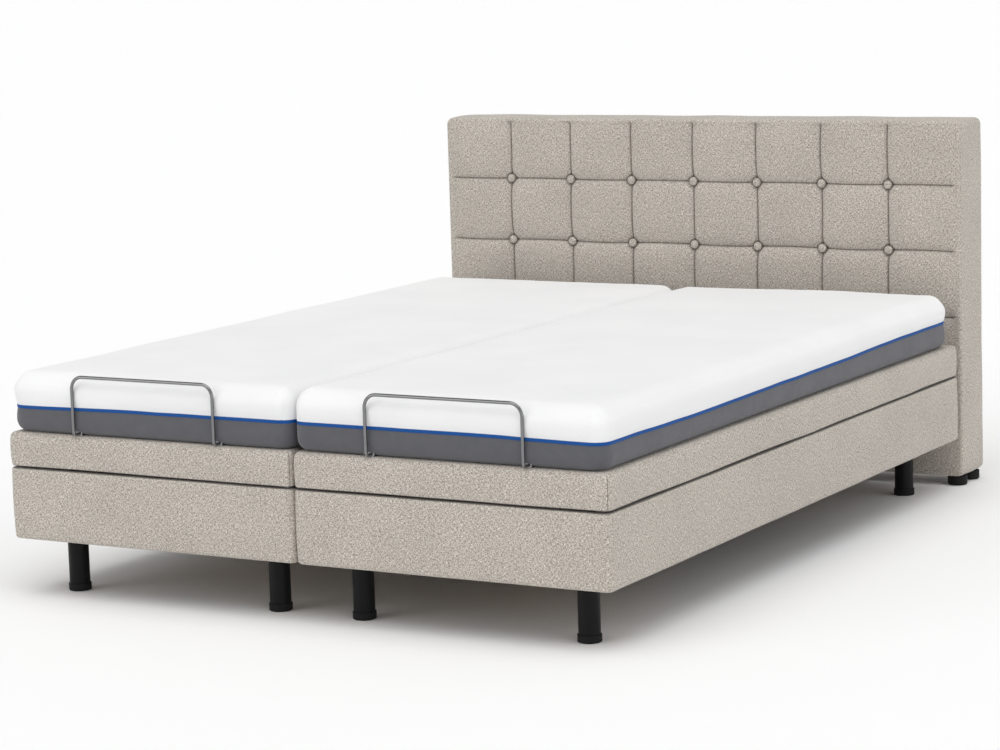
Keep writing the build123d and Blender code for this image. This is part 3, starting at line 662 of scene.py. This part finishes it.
def rounded_ring(low, high, corner, inset, step=30 * MM, arc_steps=8):
    """Points around a rounded rectangle, moved inwards; every inset gives the same number of points."""
    radius = max(corner - inset, 0.5 * MM)
    x0, y0 = low[0] + inset + radius, low[1] + inset + radius
    x1, y1 = high[0] - inset - radius, high[1] - inset - radius
    corners = [(x1, y0, -90), (x1, y1, 0), (x0, y1, 90), (x0, y0, 180)]
    counts = [math.ceil((high[1] - low[1]) / step), math.ceil((high[0] - low[0]) / step)] * 2
    ring = []
    for index, (cx, cy, start) in enumerate(corners):
        for i in range(arc_steps + 1):
            angle = math.radians(start + 90 * i / arc_steps)
            ring.append((cx + radius * math.cos(angle), cy + radius * math.sin(angle)))
        nx, ny, following = corners[(index + 1) % 4]
        angle = math.radians(following)
        target = (nx + radius * math.cos(angle), ny + radius * math.sin(angle))
        here = ring[-1]
        for i in range(1, counts[index]):
            t = i / counts[index]
            ring.append((here[0] + (target[0] - here[0]) * t, here[1] + (target[1] - here[1]) * t))
    return np.array(ring)


def quarter(centre_inset, centre_z, radius, start, steps=5):
    """Arc points (inset, z) of a rounded profile corner, from the start angle over 90 degrees."""
    for i in range(steps + 1):
        angle = math.radians(start + 90 * i / steps)
        yield centre_inset - radius * math.cos(angle), centre_z + radius * math.sin(angle)


def box_profile(z0, z1):
    """Closed outline of a padded board: inset from the outer face and height."""
    outer_r, top_r, inner_r = 8 * MM, 5 * MM, 3 * MM
    profile = list(quarter(outer_r, z0 + outer_r, outer_r, -90))
    profile += [(0.0, z) for z in np.linspace(z0 + outer_r, z1 - top_r, 14)[1:-1]]
    profile += list(quarter(top_r, z1 - top_r, top_r, 0))
    profile += list(quarter(BOX_WALL - inner_r, z1 - inner_r, inner_r, 90, 3))
    profile += [(BOX_WALL, z) for z in np.linspace(z1 - inner_r, z0 + inner_r, 6)[1:-1]]
    profile += list(quarter(BOX_WALL - inner_r, z0 + inner_r, inner_r, 180, 3))
    return profile


def lower_box(side, seed):
    low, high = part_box(f"base_box_{side}")
    profile = box_profile(low.z, high.z)
    rings, outward = [], []
    for inset, z in profile:
        on_side = inset < SAME_PLACE
        bulge = BOX_BULGE * math.sin(math.pi * (z - low.z) / (high.z - low.z)) if on_side else 0.0
        ring = rounded_ring(low, high, BOX_CORNER, inset - bulge)
        rings.append(np.column_stack([ring, np.full(len(ring), z)]))
        outward.append(np.full(len(ring), float(inset < BOX_WALL / 2)))
    points = np.concatenate(rings)
    uneven = BOX_UNEVEN * ripple(points * [1, 1, 0.6], 0.23, seed) * np.concatenate(outward)
    for axis in (0, 1):
        from_centre = points[:, axis] - (low[axis] + high[axis]) / 2
        near_side = (high[axis] - low[axis]) / 2 - np.abs(from_centre) < BOX_WALL
        points[:, axis] += np.sign(from_centre) * uneven * near_side
    ids = np.arange(len(points)).reshape(len(rings), -1)
    above, beside = np.roll(ids, -1, axis=0), np.roll(ids, -1, axis=1)
    quads = np.stack([ids, beside, np.roll(above, -1, axis=1), above], -1).reshape(-1, 4)
    # the inner faces get the near-black cloth, painted shade inside the box
    shade_lined = np.repeat([inset > BOX_WALL / 2 for inset, z in profile], len(rings[0]))
    # painted shade along the top edge, in the gap under the platform cover
    seam = 0.9 * (points[:, 2] > high.z - 1.2 * MM)
    return make_piece(f"lower_box_{side}", points, quads, [FABRIC, SHADE_LINING], shade_lined, seam=seam)


def build_lower_boxes():
    for number, side in enumerate(SIDES):
        piece = lower_box(side, 90 + number)
        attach(piece, "base")
        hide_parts(f"base_box_{side}")


# ---- headboard ----------------------------------------------------------------------------------
TUFT_X = 197 * MM
TUFT_Z = 180 * MM
TUFT_COLUMNS = 8
TUFT_ROWS = 3
SEAM_END = 16 * MM              # the horizontal seams stop this far from the side edges
BORDER_BACK = 8 * MM            # the border seam lies this far behind the front face
CUSHION_RECESS = 23 * MM        # depth of the body's hollow behind the cushion
REAR_SEAM = 48 * MM             # the rear panel is sewn in this far from the edges
CUSHION_EDGE = 9 * MM
BODY_EDGE = 7 * MM
HEADBOARD_CORNER = 20 * MM
CREASE_DEPTH = 7 * MM           # of a sewn line
HOLLOW_DEPTH = 6 * MM           # of the broad hollow around it
BUTTON_PULL = 8 * MM
BUTTON_R = 12 * MM
BUTTON_DOME = 5 * MM
BUTTON_DEPTH = 16 * MM
BUTTON_SIDES = 24
BUTTON_PROFILE = (              # share of the radius, and share of the dome's height behind its front
    (0.35, 0.05), (0.62, 0.16), (0.84, 0.38), (0.96, 0.72), (1.0, 1.2), (0.93, 1.7), (0.75, 2.4))


def headboard_box():
    """Box around the core and the cushion in front of it."""
    core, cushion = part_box("headboard_frame"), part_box("headboard_cushion")
    return Vector((core[0].x, cushion[0].y, core[0].z)), core[1].copy()


def upright(points, front_y):
    """Stands a slab modelled lying down up on its edge: its top becomes the front face."""
    return np.column_stack([points[:, 0], front_y - points[:, 2], points[:, 1]])


def seam_places(top):
    """X of the upright seams and Z of the level ones."""
    columns = [(i - TUFT_COLUMNS / 2) * TUFT_X for i in range(1, TUFT_COLUMNS)]
    rows = [top + 3 * MM - (row + 1) * TUFT_Z for row in range(TUFT_ROWS)]
    return columns, rows


def tuft_depth(x, z, high):
    """How far the tufted front lies behind its flat plane, and the painted crease shade: 1 on its sewn lines
    and in a ring just outside each button.
    """
    columns, rows = seam_places(high.z)
    dx = np.min([np.abs(x - c) for c in columns], axis=0)
    dz = np.min([np.abs(z - r) for r in rows], axis=0)
    tufted = smooth_step((z - (rows[-1] - 60 * MM)) / (60 * MM))
    side_gap = high.x - np.abs(x)
    row_reach = smooth_step((side_gap - SEAM_END) / (14 * MM))
    top_reach = smooth_step((high.z - z - 6 * MM) / (10 * MM))
    crease_x = np.exp(-dx / (4 * MM)) * top_reach * tufted
    crease_z = np.exp(-dz / (4 * MM)) * row_reach
    broad_x = np.exp(-(dx / (26 * MM)) ** 1.5) * top_reach * tufted
    broad_z = np.exp(-(dz / (26 * MM)) ** 1.5) * row_reach
    groove = CREASE_DEPTH * np.maximum(crease_x, crease_z) + HOLLOW_DEPTH * np.maximum(broad_x, broad_z)
    spots = np.hypot(dx, dz)
    pull = BUTTON_PULL * np.exp(-np.maximum(spots - BUTTON_R, 0) / (11 * MM))
    angle = np.arctan2(dz, dx)
    pleats = 0.8 * MM * np.cos(angle * 9) * np.exp(-spots / (38 * MM)) * smooth_step(spots / (16 * MM))
    # painted shade: dark lines along the seams
    line = np.maximum(np.exp(-(dx / (1.6 * MM)) ** 2) * top_reach * tufted,
                      np.exp(-(dz / (1.6 * MM)) ** 2) * row_reach)
    # painted shade: a dark ring just outside each button's rim
    ring = np.exp(-((spots - BUTTON_R - 1.5 * MM) / (3.0 * MM)) ** 2)
    return groove + pull + pleats, np.maximum(line, ring)


def wander(along, across, seams, first, pitch, reach, turn):
    """Sideways drift of the cloth near each seam, so that the sewn lines aren't quite straight."""
    wave = np.sin((along - first) * math.pi / pitch)
    return sum(np.exp(-((across - seam) / (40 * MM)) ** 2) * reach * wave * math.cos(turn(i))
               for i, seam in enumerate(seams))


def tufted_cushion():
    low, high = headboard_box()
    inset = 1.5 * MM
    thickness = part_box("headboard_cushion")[1].y - low.y
    columns, rows = seam_places(high.z)
    near = [side * v * MM for v in (0, 1.5, 3.5, 6.5, 10, 14, 19) for side in (-1, 1)]
    edge = arc_offsets(HEADBOARD_CORNER, 6) + arc_offsets(CUSHION_EDGE, 5)
    flat_low = (low.x + inset, low.z + inset, -thickness)
    flat_high = (high.x - inset, high.z - inset, 0.0)
    x_lines, z_lines = (lines(flat_low[axis], flat_high[axis], 9 * MM, edge,
                              [seam + d for seam in seams for d in near], fine=0.8 * MM)
                        for axis, seams in enumerate((columns, rows)))
    y_lines = lines(-thickness, 0.0, 8 * MM, arc_offsets(CUSHION_EDGE, 5), fine=0.5 * MM)
    slab = Slab(flat_low, flat_high, (x_lines, z_lines, y_lines), HEADBOARD_CORNER, CUSHION_EDGE, 2 * MM)
    x, z = slab.points[:, 0].copy(), slab.points[:, 1].copy()
    depth, seam = tuft_depth(x, z, high)
    cell = smooth_step(slab.depth / (60 * MM))
    uneven = 0.7 * MM * ripple(slab.points, 0.13, 11) * cell
    facing = smooth_step((slab.raw[:, 2] + CUSHION_EDGE) / CUSHION_EDGE) * smooth_step(slab.depth / (12 * MM))
    slab.points[:, 2] -= (depth + uneven - 4.0 * MM * cell) * facing
    slab.points[:, 0] += wander(z, x, columns, rows[0], TUFT_Z, 2.4 * MM, lambda i: 7 * i) * facing
    slab.points[:, 1] += wander(x, z, rows, columns[0], TUFT_X, 2.0 * MM, lambda i: 5 * i + 1) * facing
    # the seam attribute carries the painted crease shade into the fabric colour
    return make_piece("headboard_tufted_cushion", upright(slab.points, low.y), slab.quads(), [FABRIC],
                      seam=seam * (facing > 0.5))


def headboard_body():
    """Border, sides and rear of the headboard in one cover, hollow behind the cushion, with a sewn border
    in front and a sewn-in panel at the rear."""
    low, high = headboard_box()
    thickness = high.y - low.y - BORDER_BACK
    beside_seam = [REAR_SEAM + d * MM for d in (-3, 0, 3)]
    edge = arc_offsets(HEADBOARD_CORNER, 7) + arc_offsets(BODY_EDGE, 4) + beside_seam
    flat_low, flat_high = (low.x, low.z, -thickness), (high.x, high.z, 0.0)
    x_lines, z_lines = (lines(flat_low[axis], flat_high[axis], 25 * MM, edge, fine=0.8 * MM)
                        for axis in (0, 1))
    y_lines = lines(-thickness, 0.0, 10 * MM, arc_offsets(BODY_EDGE, 4), fine=0.5 * MM)
    slab = Slab(flat_low, flat_high, (x_lines, z_lines, y_lines), HEADBOARD_CORNER, BODY_EDGE, 10 * MM)
    outer = np.clip(1 - slab.depth / 0.03, 0, 1)
    along = np.clip(-slab.raw[:, 2] / thickness, 0, 1)
    swell = 1.5 * MM * np.sin(math.pi * along) + 0.7 * MM * ripple(slab.points, 0.2, 12)
    slab.push_out((swell - 1.0 * MM) * outer)
    in_front = slab.raw[:, 2] > -0.5 * MM
    # painted shade along the front border seam
    front_seam = in_front & (slab.depth < 6 * MM)
    slab.points[:, 2] -= CUSHION_RECESS * smooth_step((slab.depth - 6 * MM) / (8 * MM)) * in_front
    # painted shade along the rear panel's seam
    rear_seam = (slab.raw[:, 2] < -thickness + 0.1 * MM) & (np.abs(slab.depth - REAR_SEAM) < 0.5 * MM)
    slab.points[:, 2] += 2.5 * MM * rear_seam
    return make_piece("headboard_body", upright(slab.points, low.y + BORDER_BACK), slab.quads(), [FABRIC],
                      seam=(front_seam | rear_seam).astype(float))


def button(x, front, z, base):
    """Points and faces of one domed button; its point numbers start at base."""
    points = [(x, front, z)]
    for share, drop in BUTTON_PROFILE:
        for i in range(BUTTON_SIDES):
            angle = 2 * math.pi * i / BUTTON_SIDES
            points.append((x + BUTTON_R * share * math.cos(angle), front + BUTTON_DOME * drop,
                           z + BUTTON_R * share * math.sin(angle)))
    points.append((x, front + BUTTON_DEPTH, z))
    rings = [base + 1 + ring * BUTTON_SIDES for ring in range(len(BUTTON_PROFILE))]
    back = base + len(points) - 1
    faces = []
    for i in range(BUTTON_SIDES):
        j = (i + 1) % BUTTON_SIDES
        faces.append((base, rings[0] + i, rings[0] + j))
        faces += [(a + i, b + i, b + j, a + j) for a, b in zip(rings[:-1], rings[1:])]
        faces.append((rings[-1] + i, back, rings[-1] + j))
    return points, faces


def headboard_buttons():
    """Fabric-covered buttons, one in each tuft."""
    low, high = headboard_box()
    columns, rows = seam_places(high.z)
    points, faces = [], []
    for x in columns:
        for z in rows:
            more_points, more_faces = button(x, low.y + 1.0 * MM, z, len(points))
            points += more_points
            faces += more_faces
    return make_piece("tuft_buttons", points, faces, [FABRIC])


def build_headboard():
    for piece, node in ((tufted_cushion(), "headboard_cushion"), (headboard_body(), "headboard_frame"),
                        (headboard_buttons(), "headboard_buttons")):
        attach(piece, "base")
        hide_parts(node)


# ---- floor, light and camera --------------------------------------------------------------------
FLOOR_REACH = 150.0
WORLD_LOW, WORLD_HIGH = 0.88, 0.42      # brightness near the horizon and from well above it
LIGHTS = (                      # name, strength, then in degrees: softness, tilt from overhead and turn
    ("overhead", 1.50, 60, 16, 20),
    ("foot_side", 0.48, 40, 70, -35),
    ("right_side", 0.60, 60, 66, 75),
    ("rear_fill", 0.15, 90, 60, 210),
)
CAMERA_PLACE = (3.7576, -6.7070, 1.5635)
CAMERA_YAW, CAMERA_PITCH, CAMERA_ROLL = -0.5209, 0.1485, -0.0302        # radians
CAMERA_LENS = 108.6


def build_floor():
    mesh = bpy.data.meshes.new("floor")
    corners = [(x * FLOOR_REACH, y * FLOOR_REACH, 0) for x, y in ((-1, -1), (1, -1), (1, 1), (-1, 1))]
    mesh.from_pydata(corners, [], [(0, 1, 2, 3)])
    material, _, _ = new_material("pale_floor", Roughness=0.9, Base_Color=(0.93, 0.93, 0.93, 1))
    mesh.materials.append(material)
    floor = bpy.data.objects.new("floor", mesh)
    floor.location.z = -0.5 * MM
    bpy.context.scene.collection.objects.link(floor)


def build_light():
    """A pale studio all around, a little brighter toward the horizon, and four very soft lights."""
    world = bpy.data.worlds.new("studio")
    world.use_nodes = True
    tree = world.node_tree
    height = add(tree, "ShaderNodeSeparateXYZ", {0: add(tree, "ShaderNodeTexCoord").outputs["Generated"]})
    glow = ramp(tree, height.outputs["Z"], 0.1, 0.5, WORLD_LOW, WORLD_HIGH)
    background = tree.nodes["Background"]
    background.inputs["Color"].default_value = (1, 1, 1, 1)
    tree.links.new(glow, background.inputs["Strength"])
    bpy.context.scene.world = world
    for name, energy, angle, tilt, turn in LIGHTS:
        light = bpy.data.lights.new(name, "SUN")
        light.energy = energy
        light.angle = math.radians(angle)
        lamp = bpy.data.objects.new(name, light)
        lamp.rotation_euler = (math.radians(tilt), 0, math.radians(turn))
        bpy.context.scene.collection.objects.link(lamp)


def build_camera():
    """Long lens from the foot's right corner, a little above the bed."""
    yaw, pitch, roll = CAMERA_YAW, CAMERA_PITCH, CAMERA_ROLL
    forward = Vector((math.sin(yaw) * math.cos(pitch), math.cos(yaw) * math.cos(pitch), -math.sin(pitch)))
    level = Vector((math.cos(yaw), -math.sin(yaw), 0))
    upward = level.cross(forward)
    right = level * math.cos(roll) + upward * math.sin(roll)
    up = upward * math.cos(roll) - level * math.sin(roll)
    turn = Matrix((right, up, -forward)).transposed().to_4x4()
    data = bpy.data.cameras.new("camera")
    data.lens = CAMERA_LENS
    data.sensor_width = 36
    data.clip_end = 500
    camera = bpy.data.objects.new("camera", data)
    camera.matrix_world = Matrix.Translation(CAMERA_PLACE) @ turn
    bpy.context.scene.collection.objects.link(camera)
    bpy.context.scene.camera = camera


bpy.context.scene.view_settings.view_transform = "Standard"
build_camera()
build_light()
build_floor()
dress_cad_nodes()
build_lower_boxes()
build_platforms()
build_mattresses()
build_headboard()
